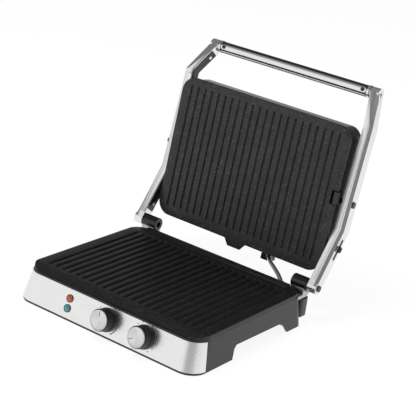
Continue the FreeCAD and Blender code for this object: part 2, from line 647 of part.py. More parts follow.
def lock_slot(width, half_wide, half_long=None):
    """A round-ended slot through the right arm, as a solid along X."""
    start, along = lower_run()
    half_long = half_long or value("lock_slot_long / 2")
    centre = start + along * value("lock_along")
    across = V(0, along.z, -along.y)
    x = value("arm_out") - width / 2
    ends = [centre + along * (sign * (half_long - half_wide)) for sign in (-1, 1)]
    a, b = ends[0] - across * half_wide, ends[1] - across * half_wide
    c, d = ends[1] + across * half_wide, ends[0] + across * half_wide
    tip, tail = ends[1] + along * half_wide, ends[0] - along * half_wide
    edges = [Part.LineSegment(a, b).toShape(), Part.Arc(b, tip, c).toShape(),
             Part.LineSegment(c, d).toShape(), Part.Arc(d, tail, a).toShape()]
    face = Part.Face(Part.Wire(edges))
    face.translate(V(x, 0, 0))
    return face.extrude(V(width, 0, 0))


def make_lock_slider():
    """A lever that runs in the right arm's slot, with a thumb piece outside and a shoe inside."""
    start, along = lower_run()
    turn = FreeCAD.Rotation(V(0, 0, 1), along)
    centre = start + along * (value("lock_along") + 1)
    wide, outer, inner = value("lock_slot_wide"), value("arm_out"), value("arm_in")
    inside = inner - value("liner_thick") - 0.9
    blade = Part.makeBox(outer + 3 - inside, wide - 0.6, 9, V(inside, -(wide - 0.6) / 2, -4.5))
    thumb = Part.makeBox(3.6, 6, 8, V(outer + 1.2, -3, -4))
    thumb = thumb.makeFillet(1.2, thumb.Edges)
    shoe = Part.makeBox(0.7, 9, 20, V(inside, -4.5, -10))
    lever = blade.fuse([thumb, shoe]).removeSplitter()
    angle = math.degrees(math.atan2(along.z, along.y)) - 90
    lever.Placement = FreeCAD.Placement(V(0, centre.y, centre.z), FreeCAD.Rotation(V(1, 0, 0), angle))
    sub_part("lock_slider", solid_feature("lock_lever", lever))


def make_handle():
    """A round bar between the arms' tops, with a screwed-on strip, collars and ring seams."""
    axis = V(1, 0, 0)
    half = value("arm_in - toe_in")
    y, z = value("handle_y"), value("handle_z")
    front = V(0, -0.94, 0.34).normalize()
    bar = cylinder("handle_round", "handle_radius", "2 * (arm_in - toe_in)",
                   ("-(arm_in - toe_in)", "handle_y", "handle_z"), axis)
    seat = solid_feature("handle_strip_seat", strip_shape(y, z, front, 5.2, 0.0))
    sub_part("handle_bar", cut("handle", bar, seat))
    strip = strip_shape(y, z, front, 5.2, 0.0).common(
        Part.makeCylinder(value("handle_radius") + 0.5, 2 * half, V(-half, y, z), axis))
    holes = [Part.makeCylinder(1.6, 20, V(x, y, z), front) for x in (-1 * value("strip_half - 6"),
                                                                   value("strip_half - 6"))]
    for hole in holes:
        strip = strip.cut(hole)
    sub_part("handle_strip", solid_feature("handle_strip_plate", strip))
    screws = []
    for x in (-1 * value("strip_half - 6"), value("strip_half - 6")):
        start = V(x, y, z) + front * 5.2
        shank = Part.makeCylinder(1.6, value("handle_radius") + 0.5 - 5.2, start, front)
        head = Part.makeCylinder(2.9, 0.9, V(x, y, z) + front * (value("handle_radius") + 0.5), front)
        screws.append(solid_feature("handle_screw", shank.fuse(head).removeSplitter()))
    sub_part("handle_screws", group("handle_screw_pair", *screws))
    collars = []
    for side in (-1, 1):
        x_low = side * (half - 3) - 2
        ring = Part.makeCylinder(value("handle_radius") + 0.9, 4, V(x_low, y, z), axis)
        bore = Part.makeCylinder(value("handle_radius"), 4, V(x_low, y, z), axis)
        collars.append(solid_feature("handle_collar", ring.cut(bore)))
    sub_part("handle_collars", group("handle_collar_pair", *collars))


def strip_shape(y, z, front, start, gap):
    """The round-ended strip's stock, running out of the handle's middle towards its front."""
    half, high = value("strip_half") + gap, value("strip_high") / 2 + gap
    up = V(1, 0, 0).cross(front)
    centre = V(0, y, z) + front * start
    corners = [centre + V(sx * (half - high), 0, 0) + up * (sz * high)
               for sx, sz in ((-1, -1), (1, -1), (1, 1), (-1, 1))]
    right, left = centre + V(half, 0, 0), centre - V(half, 0, 0)
    edges = [Part.LineSegment(corners[0], corners[1]).toShape(),
             Part.Arc(corners[1], right, corners[2]).toShape(),
             Part.LineSegment(corners[2], corners[3]).toShape(),
             Part.Arc(corners[3], left, corners[0]).toShape()]
    return Part.Face(Part.Wire(edges)).extrude(front * 12)


def make_arm_screws():
    """Small round heads that hold the liners to the arms' inner faces."""
    path = arm_path()
    heads = []
    for side in (-1, 1):
        for share, run in ((0.3, 0), (0.97, 0), (0.55, 2)):
            (y0, z0), (y1, z1) = path[run], path[run + 1]
            inward = value("toe_in") if run == 2 else 0
            start = V(side * (value("arm_in - liner_thick") - 0.15), y0, z0)
            along = V(-side * inward, y1 - y0, z1 - z0)
            unit = V(along).normalize()
            out = V(-side, 0, 0) - unit * (-side * unit.x)
            heads.append(solid_feature("liner_screw", Part.makeCylinder(2.6, 0.9, start + along * share, out)))
    sub_part("liner_screws", group("liner_screw_set", *heads))


# ---------------------------------------------------------------- lid

def make_lid_housing():
    outer = slab("lid_outer", ("-lid_half", "lid_half"), ("lid_front", "lid_rear"), ("lid_low", "lid_high"),
                 "lid_corner")
    inner = slab("lid_inner", ("-lid_half + lid_wall", "lid_half - lid_wall"),
                 ("lid_front + lid_wall", "lid_rear - lid_wall"), ("lid_low - 5", "lid_high - lid_wall"),
                 "lid_corner - lid_wall")
    carved = cut("lid_shell", outer, inner)
    bushes, bores = [], []
    y, z = float_point()
    for side in (-1, 1):
        middle = side * value("lid_half - lid_wall - bush_long / 2")
        bushes.append(cylinder("lid_bush", "bush_radius", "bush_long + 1",
                               (f"{middle} - bush_long / 2 - 0.5", str(y), str(z)), V(1, 0, 0)))
        bores.append(cylinder("lid_bore", "float_pin + running_gap", "40",
                              (str(side * value("lid_half") - 20), str(y), str(z)), V(1, 0, 0)))
    window = box("release_window", ("lid_half - 10", "lid_half + 5"), ("release_front", "release_rear"),
                 ("lid_low - 1", "lid_low + 8.6"))
    lead = box("lid_lead_hole", ("48", "60"), ("lid_rear - 6", "lid_rear + 3"), ("11", "19"))
    on_lid("lid_housing", cut("lid_whole", fuse("lid_with_bushes", carved, *bushes), *bores, window, lead))


def float_point():
    """The float axis in the lid frame, as (y, z)."""
    spot = LID_PLACE.inverse().multVec(V(0, value("float_y"), value("float_z")))
    return spot.y, spot.z


def make_lid_cover():
    """The stainless outer skin, a pressed shell crowned along its edges."""
    skins = []
    for word, inset in (("outer", "0"), ("inner", "skin_thick")):
        side = f"1 + {inset}"
        body = slab(f"lid_cover_{word}", (f"-lid_half + {side}", f"lid_half - ({side})"),
                    (f"lid_front + {side}", f"lid_rear - ({side})"), ("lid_high", f"lid_high + cover_crown - {inset}"),
                    f"lid_corner - ({side})")
        doc.recompute()
        tip = body.Tip
        top = value(f"lid_high + cover_crown - {inset}")
        names = [f"Edge{n}" for n, edge in enumerate(tip.Shape.Edges, start=1)
                 if abs(edge.BoundBox.ZMin - top) < 0.01 and abs(edge.BoundBox.ZMax - top) < 0.01]
        crown = body.newObject("PartDesign::Fillet", f"{word}_crown")
        crown.Base = (tip, names)
        crown.setExpression("Radius", bound(f"cover_crown - 0.6 - {inset}"))
        skins.append(body)
    on_lid("lid_cover", cut("lid_skin", *skins))


def make_upper_heater():
    on_lid("upper_heating_element", run_element("upper_element", "plate_thick + tube_radius + 0.05", "-161"))
    outer = slab("upper_reflector_outer", ("-127", "127"), ("-186", "-3"), ("14.5", "24"), "8")
    inner = slab("upper_reflector_inner", ("-126", "126"), ("-185", "-4"), ("10", "23"), "7")
    on_lid("upper_reflector", cut("upper_reflector_whole", outer, inner))


def make_release():
    """The sprung latch that frees the upper plate, pushed in from the lid's right side."""
    inside = "lid_half - release_deep"
    button = slab("release_cap", (inside, "lid_half + 2.4"), ("release_front + 0.5", "release_rear - 0.5"),
                  ("lid_low + 0.4", "lid_low + 8"), "1")
    stem = box("release_stem", (f"{inside} - 3", f"{inside} + 0.5"), ("release_front + 0.5", "release_front + 7.5"),
               ("lid_low + 2", "lid_low + 14"))
    thumb = slab("release_thumb", ("lid_half - 2.5", "lid_half + 2.6"), ("release_front + 1", "release_rear - 1"),
                 ("-0.6", "lid_low + 2"), "1.2")
    on_lid("release_button", fuse("release_whole", button, stem, thumb))
    coil = cylinder("release_coil", "1.8", "7.4", (f"{inside} - 10.6", "release_front + 4", "lid_low + 11.2"),
                    V(1, 0, 0))
    on_lid("release_spring", coil)
    post = box("release_stop", (f"{inside} - 13.4", f"{inside} - 10.7"),
               ("release_front + 1", "release_front + 7"), ("lid_low + 8.8", "lid_high - lid_wall"))
    on_lid("release_post", post)


def make_float_pins():
    """Pins through the arms on which the lid's bushes turn."""
    pins = []
    for side in (-1, 1):
        inside = side * value("lid_half - lid_wall - bush_long + 1")
        outside = side * value("arm_out + head_gap")
        head = side * value("arm_out + head_gap + head_thick")
        shank = cylinder("float_shank", "float_pin", str(abs(outside - inside)),
                         (str(min(outside, inside)), "float_y", "float_z"), V(1, 0, 0))
        cap = cylinder("float_head", "pin_head", str(abs(head - outside)),
                       (str(min(head, outside)), "float_y", "float_z"), V(1, 0, 0))
        pins.append(fuse("float_pin_whole", shank, cap))
    sub_part("float_pins", group("float_pin_pair", *pins))


# ---------------------------------------------------------------- leads

# Route of the lid's lead conduit, from inside the case to inside the lid's gland.
CONDUIT_ROUTE = [(117, 62, 40), (109, 76, 45.5), (96, 86, 51), (80, 95.5, 55.3), (66.5, 103.8, 57.9),
                 (58.6, 112.3, 59.4), (52.4, 124.3, 59.4)]


def smooth_path(points):
    """Straight runs joined by tangent arcs, each arc as large as its two runs allow."""
    points = [V(*p) for p in points]
    edges, last = [], points[0]
    for before, corner, after in zip(points, points[1:], points[2:]):
        into, out = corner - before, after - corner
        turn = into.getAngle(out)
        reach = 0.45 * min(into.Length, out.Length)
        radius = reach / math.tan(turn / 2)
        print(f"conduit arc radius {radius:.1f} mm")
        first = corner - into.normalize() * reach
        second = corner + out.normalize() * reach
        middle = corner + (first + second - corner * 2).normalize() * (radius / math.cos(turn / 2) - radius)
        edges += [Part.LineSegment(last, first).toShape(), Part.Arc(first, middle, second).toShape()]
        last = second
    edges.append(Part.LineSegment(last, points[-1]).toShape())
    return Part.Wire(edges)


def make_conduit():
    path = smooth_path(CONDUIT_ROUTE)
    start = V(*CONDUIT_ROUTE[0])
    along = (V(*CONDUIT_ROUTE[1]) - start).normalize()
    radius = value("conduit_radius")
    ring = Part.Wire([Part.makeCircle(radius, start, along)])
    tube = path.makePipeShell([ring], True, True)
    expected = math.pi * radius ** 2 * path.Length
    print(f"conduit volume {tube.Volume:.0f} of {expected:.0f}, length {path.Length:.1f}")
    sub_part("lid_conduit", solid_feature("conduit_tube", tube))
    block = Part.makeBox(16.6, 9, 9.7, V(105.2, 60.5, 35.2))
    boot = Part.makeCone(5.3, 4.4, 8, start + along * 10, along)
    gland = block.fuse(boot).cut(Part.makeCylinder(radius, 24, start - along * 15, along)).cut(tube)
    sub_part("base_conduit_gland", solid_feature("base_gland", gland.removeSplitter()))
    end = V(*CONDUIT_ROUTE[-1])
    block = box("lid_gland_block", ("45", "61"), ("lid_rear", "lid_rear + 14.5"), ("9", "24"))
    mouth = solid_feature("lid_gland_mouth", Part.makeCylinder(4.2, 30, V(0, 0, 0), V(0, 0, 1)))
    inward = LID_PLACE.inverse().multVec(end)
    back = LID_PLACE.inverse().multVec(V(*CONDUIT_ROUTE[-2]))
    mouth.Placement = FreeCAD.Placement(back - (inward - back) * 0.6,
                                        FreeCAD.Rotation(V(0, 0, 1), inward - back))
    on_lid("lid_conduit_gland", cut("lid_gland", block, mouth))


def make_cord_gland():
    """The mains lead's gland, under the raised middle of the base."""
    tube = cylinder("cord_gland_tube", "7", "13", ("-96", "0", "cover_high - 7"))
    flange = cylinder("cord_gland_flange", "9.5", "2", ("-96", "0", "cover_high - 2"))
    bore = cylinder("cord_gland_bore", "3.8", "40", ("-96", "0", "0"))
    sub_part("cord_gland", cut("cord_gland_whole", fuse("cord_gland_turned", tube, flange), bore))
    block = box("terminal_body", ("-110", "-70"), ("-55", "-35"), ("cover_high + cover_thick", "29"))
    sub_part("terminal_block", block)


# ---------------------------------------------------------------- build

make_lower_plate()
make_upper_plate()
make_base_housing()
make_front_panel()
make_bottom_cover()
make_feet()
make_drip_tray()
make_lower_heater()
make_inner_works()
make_controls()
make_lamps()
make_hinge()
make_arms()
make_lock_slider()
make_handle()
make_arm_screws()
make_lid_housing()
make_lid_cover()
make_upper_heater()
make_release()
make_float_pins()
make_conduit()
make_cord_gland()
doc.recompute()

failed = [o.Name for o in doc.Objects if "Invalid" in o.State or "Error" in o.State]
if failed:
    raise RuntimeError(f"objects that failed to build: {failed}")
for piece in SUB_PARTS:
    if piece.Shape.isNull() or not piece.Shape.isValid() or not piece.Shape.Solids:
        raise RuntimeError(f"{piece.Label} has no valid solid")
for piece in SUB_PARTS:
    piece.Shape.exportStep(f"parts/{piece.Label}.step")
extent = FreeCAD.BoundBox()
for piece in SUB_PARTS:
    extent.add(piece.Shape.BoundBox)
print(f"{len(SUB_PARTS)} sub-parts, box {extent}")
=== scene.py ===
"""Contact grill (panini press), lid open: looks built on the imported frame. Metres, row frame, -Y is the front."""

import json
import math

import bmesh
import bpy
from mathutils import Matrix, Vector

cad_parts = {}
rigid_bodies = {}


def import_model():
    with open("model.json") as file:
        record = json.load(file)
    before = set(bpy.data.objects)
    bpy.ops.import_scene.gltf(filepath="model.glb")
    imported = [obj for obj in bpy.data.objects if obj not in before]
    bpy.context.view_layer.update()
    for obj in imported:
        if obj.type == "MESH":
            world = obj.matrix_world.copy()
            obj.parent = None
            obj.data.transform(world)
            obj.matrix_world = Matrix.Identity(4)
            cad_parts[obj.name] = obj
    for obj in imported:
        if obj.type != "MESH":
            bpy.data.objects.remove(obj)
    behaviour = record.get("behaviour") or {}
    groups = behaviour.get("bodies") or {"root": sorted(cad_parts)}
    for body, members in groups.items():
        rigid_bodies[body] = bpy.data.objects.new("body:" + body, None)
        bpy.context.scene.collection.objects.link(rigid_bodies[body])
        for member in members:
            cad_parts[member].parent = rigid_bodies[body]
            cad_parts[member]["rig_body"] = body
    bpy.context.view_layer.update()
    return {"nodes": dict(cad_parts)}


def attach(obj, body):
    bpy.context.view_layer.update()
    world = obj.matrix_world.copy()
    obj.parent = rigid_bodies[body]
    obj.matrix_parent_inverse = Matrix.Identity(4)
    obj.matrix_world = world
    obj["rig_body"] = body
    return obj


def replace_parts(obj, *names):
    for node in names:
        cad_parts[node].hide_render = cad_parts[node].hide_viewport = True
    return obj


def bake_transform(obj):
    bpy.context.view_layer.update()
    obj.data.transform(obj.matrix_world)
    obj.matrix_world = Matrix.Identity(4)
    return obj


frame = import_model()
NODES = frame["nodes"]
MM = 0.001


# ---------------------------------------------------------------- shader helpers

class Shade:
    """A procedural material: a Principled shader and the few nodes that feed it."""

    def __init__(self, name, color=(0.5, 0.5, 0.5), rough=0.5, metal=0.0, **sockets):
        self.material = bpy.data.materials.new(name)
        self.material.use_nodes = True
        self.tree = self.material.node_tree
        self.shader = self.tree.nodes["Principled BSDF"]
        self.shader.inputs["Base Color"].default_value = (*color, 1.0)
        self.shader.inputs["Roughness"].default_value = rough
        self.shader.inputs["Metallic"].default_value = metal
        for key, number in sockets.items():
            self.shader.inputs[key.replace("_", " ")].default_value = number
        self.place = self.node("ShaderNodeTexCoord").outputs["Object"]

    def node(self, kind, **settings):
        made = self.tree.nodes.new(kind)
        for key, setting in settings.items():
            setattr(made, key, setting)
        return made

    def link(self, output, target):
        self.tree.links.new(output, target)

    def scaled(self, x, y, z):
        """The object's coordinates, stretched."""
        mapping = self.node("ShaderNodeMapping")
        mapping.inputs["Scale"].default_value = (x, y, z)
        self.link(self.place, mapping.inputs["Vector"])
        return mapping.outputs["Vector"]

    def noise(self, scale, detail=3.0, rough=0.5, vector=None):
        made = self.node("ShaderNodeTexNoise")
        made.inputs["Scale"].default_value = scale
        made.inputs["Detail"].default_value = detail
        made.inputs["Roughness"].default_value = rough
        self.link(vector or self.place, made.inputs["Vector"])
        return made.outputs["Fac"]

    def cells(self, scale):
        """The texture node of fine cells, whose colour output is a random colour for each cell."""
        made = self.node("ShaderNodeTexVoronoi", feature="F1")
        made.inputs["Scale"].default_value = scale
        self.link(self.place, made.inputs["Vector"])
        return made

    def ramp(self, value, stops):
        """The value turned into colours; a stop is a position with a colour or a grey level."""
        made = self.node("ShaderNodeValToRGB")
        elements = made.color_ramp.elements
        while len(elements) < len(stops):
            elements.new(0.5)
        for element, (position, color) in zip(elements, stops):
            element.position = position
            element.color = (*color, 1.0) if hasattr(color, "__len__") else (color, color, color, 1.0)
        self.link(value, made.inputs["Fac"])
        return made.outputs["Color"]

    def mix(self, factor, a, b, mode="MIX"):
        made = self.node("ShaderNodeMix", data_type="RGBA", blend_type=mode)
        for socket, given in ((made.inputs[0], factor), (made.inputs[6], a), (made.inputs[7], b)):
            if isinstance(given, bpy.types.NodeSocket):
                self.link(given, socket)
            elif hasattr(given, "__len__"):
                socket.default_value = (*given, 1.0)
            else:
                socket.default_value = given
        return made.outputs[2]

    def color(self, output):
        self.link(output, self.shader.inputs["Base Color"])

    def rough(self, value, low, high):
        made = self.node("ShaderNodeMapRange")
        made.inputs["To Min"].default_value = low
        made.inputs["To Max"].default_value = high
        self.link(value, made.inputs["Value"])
        self.link(made.outputs["Result"], self.shader.inputs["Roughness"])

    def bump(self, height, strength, distance):
        made = self.node("ShaderNodeBump")
        made.inputs["Strength"].default_value = strength
        made.inputs["Distance"].default_value = distance
        self.link(height, made.inputs["Height"])
        self.link(made.outputs["Normal"], self.shader.inputs["Normal"])


# ---------------------------------------------------------------- materials

def coating(name, dark, light, shine):
    """Flecked non-stick coating on cast aluminium."""
    m = Shade(name, rough=0.42, Specular_IOR_Level=shine)
    split = m.node("ShaderNodeSeparateColor")
    m.link(m.cells(850).outputs["Color"], split.inputs[0])
    flecks = m.ramp(split.outputs[0], [(0.0, dark), (0.6, dark * 1.5), (0.9, dark * 2.2),
                                       (0.965, light * 0.5), (1.0, light)])
    broad = m.ramp(m.noise(45, 2), [(0.3, 0.8), (0.7, 1.1)])
    m.color(m.mix(1.0, flecks, broad, "MULTIPLY"))
    m.rough(m.noise(500, 2), 0.34, 0.5)
    m.bump(m.noise(900, 3), 0.4, 0.00015)
    return m.material


def brushed(name, tint, rough, along, metal=1.0, streak=0.12, depth=0.12):
    """Metal with fine brush lines; along stretches them, and is least on the axis that they run along."""
    m = Shade(name, color=tint, rough=rough, metal=metal)
    lines = m.noise(9, 4, 0.65, m.scaled(*along))
    low = [c * (1 - streak) for c in tint]
    high = [min(1.0, c * (1 + streak)) for c in tint]
    m.color(m.ramp(lines, [(0.3, low), (0.7, high)]))
    m.rough(lines, rough * 0.8, rough * 1.25)
    if depth:
        m.bump(lines, depth, 0.00005)
    return m.material


def moulded(name, tint, rough, grain=0.25, scale=2600):
    """Moulded plastic with a fine spark-eroded grain."""
    m = Shade(name, color=tint, rough=rough)
    shade = m.noise(30, 3)
    m.color(m.ramp(shade, [(0.3, [c * 0.9 for c in tint]), (0.7, [c * 1.1 for c in tint])]))
    m.rough(m.noise(140, 3), rough * 0.88, rough * 1.12)
    m.bump(m.noise(scale, 2), grain, 0.00008)
    return m.material


def spun(name, tint, rough):
    """A turned metal face: fine rings about the piece's own Z axis, and the fan of light that they give."""
    m = Shade(name, color=tint, rough=rough, metal=1.0, Anisotropic=0.92)
    flat = m.node("ShaderNodeVectorMath", operation="MULTIPLY")
    m.link(m.place, flat.inputs[0])
    flat.inputs[1].default_value = (1, 1, 0)
    reach = m.node("ShaderNodeVectorMath", operation="LENGTH")
    m.link(flat.outputs["Vector"], reach.inputs[0])
    rings = m.node("ShaderNodeTexNoise", noise_dimensions="1D")
    rings.inputs["Scale"].default_value = 2600
    rings.inputs["Detail"].default_value = 3
    m.link(reach.outputs["Value"], rings.inputs["W"])
    m.color(m.ramp(rings.outputs["Fac"], [(0.3, [c * 0.86 for c in tint]), (0.7, tint)]))
    m.rough(rings.outputs["Fac"], rough * 0.8, rough * 1.3)
    m.bump(rings.outputs["Fac"], 0.12, 0.00004)
    turn = m.node("ShaderNodeTangent", direction_type="RADIAL", axis="Z")
    m.link(turn.outputs["Tangent"], m.shader.inputs["Tangent"])
    return m.material


def lens(name, tint, glow):
    """A tinted indicator lens with a faint glow."""
    m = Shade(name, color=tint, rough=0.12, Transmission_Weight=0.25, Coat_Weight=0.6, Coat_Roughness=0.05)
    cloud = m.noise(260, 2)
    m.color(m.ramp(cloud, [(0.25, [c * 0.75 for c in tint]), (0.75, tint)]))
    m.shader.inputs["Emission Color"].default_value = (*tint, 1.0)
    m.shader.inputs["Emission Strength"].default_value = glow
    return m.material


MATERIALS = {
    # one coating on both plates: the upper plate's lighter colour is painted sheen, the lower plate's darker colour
    # painted shade
    "coating_painted_sheen": coating("non_stick_upper", 0.0165, 0.12, 0.34),
    "coating_painted_shade": coating("non_stick_lower", 0.0075, 0.07, 0.38),
    "panel": brushed("brushed_steel_panel", (0.80, 0.80, 0.795), 0.27, (3, 200, 200), streak=0.05, depth=0.06),
    "arm": brushed("satin_cast_arm", (0.80, 0.80, 0.80), 0.25, (60, 12, 6), streak=0.03, depth=0),
    # a pale, partly metallic finish that reads white from any side: painted highlight on the right arm's strip and
    # the slot's rim, painted reflection on the handle's lower band
    "trim": brushed("silver_painted_highlight", (0.86, 0.86, 0.855), 0.30, (60, 12, 6), metal=0.35, streak=0.02, depth=0),
    "bright": brushed("bright_steel", (0.80, 0.79, 0.78), 0.25, (4, 60, 60), streak=0.03, depth=0),
    "zinc": brushed("zinc_plated_steel", (0.46, 0.46, 0.47), 0.34, (50, 50, 50), depth=0.1),
    "lid_skin": brushed("brushed_steel_lid", (0.74, 0.74, 0.73), 0.32, (3, 220, 220), metal=0.7),
    "cap": spun("spun_knob_cap", (0.80, 0.80, 0.80), 0.34),
    "case": moulded("dark_case_plastic", (0.017, 0.017, 0.0175), 0.36),
    "lid_case": moulded("glossy_lid_plastic", (0.016, 0.016, 0.0165), 0.26, 0.15),
    "black": moulded("black_plastic", (0.0075, 0.0075, 0.008), 0.22, 0.12),
    "knob": moulded("knob_plastic", (0.0085, 0.0085, 0.009), 0.33, 0.15),
    "tray": moulded("tray_plastic", (0.022, 0.022, 0.0225), 0.34),
    "rubber": moulded("foot_rubber", (0.012, 0.012, 0.012), 0.75, 0.5),
    "handle": brushed("dark_handle_metal", (0.105, 0.094, 0.084), 0.36, (3, 260, 260), streak=0.08, depth=0.06),
    "element": moulded("element_sheath", (0.10, 0.09, 0.085), 0.5, 0.4),
    "orange": lens("orange_lens", (0.58, 0.085, 0.01), 0.12),
    "teal": lens("teal_lens", (0.04, 0.36, 0.36), 0.12),
    "conduit": brushed("silver_conduit", (0.62, 0.62, 0.63), 0.18, (40, 40, 40), streak=0.05, depth=0),
    "ink": moulded("printed_mark", (0.02, 0.02, 0.02), 0.5, 0.05),
}

FINISH = {
    "base_housing": "case", "bottom_cover": "case", "front_panel": "panel", "rubber_feet": "rubber",
    "lower_reflector": "bright", "lower_heating_element": "element", "thermostat": "black", "timer": "black",
    "terminal_block": "black", "orange_lamp": "orange", "green_lamp": "teal", "lamp_bezels": "black",
    "left_hinge_bracket": "zinc", "right_hinge_bracket": "zinc", "left_hinge_barrel": "black",
    "right_hinge_barrel": "black", "hinge_pins": "black", "cord_gland": "black", "base_conduit_gland": "black",
    "lid_conduit": "conduit", "left_arm": "arm", "right_arm": "arm", "left_arm_liner": "black",
    "right_arm_liner": "black", "handle_bar": "handle", "handle_strip": "panel", "handle_screws": "black",
    "handle_collars": "bright", "liner_screws": "bright", "float_pins": "black", "lid_housing": "lid_case",
    "handle_bolts": "black", "lid_cover": "lid_skin", "upper_reflector": "bright",
    "upper_heating_element": "element", "lid_conduit_gland": "black", "release_spring": "zinc",
    "release_post": "black", "release_button": "black", "upper_plate": "coating_painted_sheen",
    "lower_plate": "coating_painted_shade", "temperature_knob": "knob", "temperature_knob_cap": "cap",
    "timer_knob": "knob", "timer_knob_cap": "cap", "drip_tray": "tray", "lock_slider": "black",
}


def paint(obj, word):
    """Gives the object the one finish of that name."""
    obj.data.materials.clear()
    obj.data.materials.append(MATERIALS[word])
    return obj


for node, obj in NODES.items():
    paint(obj, FINISH.get(node, "black"))


# ---------------------------------------------------------------- refined CAD pieces

WELD = 1e-6                             # vertices nearer than this are one
FLAT_ANGLE = math.radians(0.6)          # faces that meet at less than this are one flat face
EDGE_ANGLE = math.radians(30)           # edges sharper than this are rounded


def refined(node, width, reshape=None):
    """A copy of a CAD node with its hard edges rounded, standing for the node. The width is in millimetres.

    reshape may first change the copy's bmesh.
    """
    source = NODES[node]
    mesh = bpy.data.meshes.new(f"{node}_rounded")
    work = bmesh.new()
    work.from_mesh(source.data)
    bmesh.ops.remove_doubles(work, verts=work.verts, dist=WELD)
    bmesh.ops.dissolve_limit(work, angle_limit=FLAT_ANGLE, verts=work.verts, edges=work.edges)
    if reshape:
        reshape(work)
    work.to_mesh(mesh)
    work.free()
    rounded = bpy.data.objects.new(f"{node}_rounded", mesh)
    bpy.context.scene.collection.objects.link(rounded)
    bevel = rounded.modifiers.new("edges", "BEVEL")
    bevel.width, bevel.segments, bevel.limit_method = width * MM, 2, "ANGLE"
    bevel.angle_limit = EDGE_ANGLE
    bevel.harden_normals = True
    bevel.miter_outer = "MITER_ARC"
    bevel.use_clamp_overlap = True
    for face in mesh.polygons:
        face.use_smooth = True
    mesh.set_sharp_from_angle(angle=EDGE_ANGLE)
    paint(rounded, FINISH[node])
    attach(rounded, source["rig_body"])
    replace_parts(rounded, node)


for node, width in {
    "left_arm": 0.9, "right_arm": 0.9, "base_housing": 0.8, "front_panel": 0.3, "drip_tray": 0.8,
    "left_hinge_bracket": 0.6, "right_hinge_bracket": 0.6, "left_hinge_barrel": 1.0, "right_hinge_barrel": 1.0,
    "hinge_pins": 0.4, "float_pins": 0.4, "lid_housing": 1.2, "lock_slider": 0.5, "release_button": 0.4,
    "handle_collars": 0.4, "handle_strip": 0.4,
}.items():
    refined(node, width)

THINNER = 1.0 * MM                      # how far the liner's inner face stands back


def thin_liner(work):
    """The liner's face towards the lid moves towards the arm."""
    inner = set()
    for face in work.faces:
        middle_x = face.calc_center_median().x
        if face.normal.x * middle_x < -0.9 * abs(middle_x):
            inner.update(face.verts)
    for vertex in inner:
        vertex.co.x += math.copysign(THINNER, vertex.co.x)


def closer_screws(work):
    """The liner's screws move towards the arm with its face."""
    for vertex in work.verts:
        vertex.co.x += math.copysign(THINNER, vertex.co.x)


refined("left_arm_liner", 0.25, reshape=thin_liner)
refined("right_arm_liner", 0.25, reshape=thin_liner)
refined("liner_screws", 0.3, reshape=closer_screws)


# ---------------------------------------------------------------- pieces with more detail than the CAD

PANEL_LEAN = math.radians(15.56)
PANEL_MIDDLE = Vector((0, -182.36, 25.4)) * MM
PANEL_UP = Vector((0, math.sin(PANEL_LEAN), math.cos(PANEL_LEAN)))
PANEL_OUT = Vector((0, -math.cos(PANEL_LEAN), math.sin(PANEL_LEAN)))
KNOB_RISE = -0.2
KNOBS = {"temperature": (3.5, 96), "timer": (68, 209)}     # place along the panel in mm, pointer's angle in degrees
# the arm's run, and the float pin on it, as (y, z)
HINGE, LOWER_BEND, UPPER_BEND, TOP, FLOAT_PIN = (
    (y * MM, z * MM) for y, z in ((82, 56), (134.8, 129.6), (166.6, 279), (199, 318.5), (141.5, 169.3)))
ARM_OUTER, ARM_DEEP = 166 * MM, 18 * MM
HANDLE_RADIUS = 8.6 * MM


def on_panel(x, rise):
    """The matrix of a spot on the front panel: local Y up the panel, local Z out of it. Millimetres in."""
    matrix = Matrix((Vector((1, 0, 0)), PANEL_UP, PANEL_OUT)).transposed().to_4x4()
    matrix.translation = PANEL_MIDDLE + PANEL_UP * rise * MM + Vector((x * MM, 0, 0))
    return matrix


def piece(name, work, body, finish, matrix=None, smooth=35):
    """Makes an object of the bmesh, in millimetres if it has a matrix of its own, and sets it on its body."""
    mesh = bpy.data.meshes.new(name)
    bmesh.ops.recalc_face_normals(work, faces=work.faces)
    if matrix is not None:
        work.transform(Matrix.Scale(MM, 4))
    work.to_mesh(mesh)
    work.free()
    obj = bpy.data.objects.new(name, mesh)
    bpy.context.scene.collection.objects.link(obj)
    if matrix is not None:
        obj.matrix_world = matrix
    for face in mesh.polygons:
        face.use_smooth = True
    mesh.set_sharp_from_angle(angle=math.radians(smooth))
    paint(obj, finish)
    if body:
        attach(obj, body)
    return obj


def lathe(work, profile, segments, radius_of=None):
    """Turns the closed profile of (radius, height) about Z; radius_of may change a radius with the angle."""
    rings = []
    for number in range(segments):
        angle = math.tau * number / segments
        ring = []
        for radius, height in profile:
            r = radius_of(radius, height, angle) if radius_of else radius
            ring.append(work.verts.new((r * math.cos(angle), r * math.sin(angle), height)))
        rings.append(ring)
    for this, following in zip(rings, rings[1:] + rings[:1]):
        for low in range(len(profile)):
            high = (low + 1) % len(profile)
            work.faces.new((this[low], following[low], following[high], this[high]))


def slab_between(work, outline, low, high):
    """A flat-ended prism of the outline, a list of (x, y), between two heights."""
    bottom = [work.verts.new((x, y, low)) for x, y in outline]
    top = [work.verts.new((x, y, high)) for x, y in outline]
    work.faces.new(bottom[::-1])
    work.faces.new(top)
    for a, b, c, d in zip(bottom, bottom[1:] + bottom[:1], top[1:] + top[:1], top):
        work.faces.new((a, b, c, d))


GROOVE_PITCH, GROOVE_COUNT, GROOVE_HALF, GROOVE_DEEP = 12.5 * MM, 22, 2.25 * MM, 2.6 * MM
LEVEL = 2e-5                            # a height within this of the face counts as on it
PLATE_EDGE_ANGLE = math.radians(60)


def groove_depth(distance, outside, inside):
    """Depth at a distance from the groove's centre line; the lip is rounded outside and inside the groove's edge."""
    share = min(1.0, max(0.0, (GROOVE_HALF + outside - distance) / (outside + inside)))
    return GROOVE_DEEP * share * share * (3 - 2 * share)


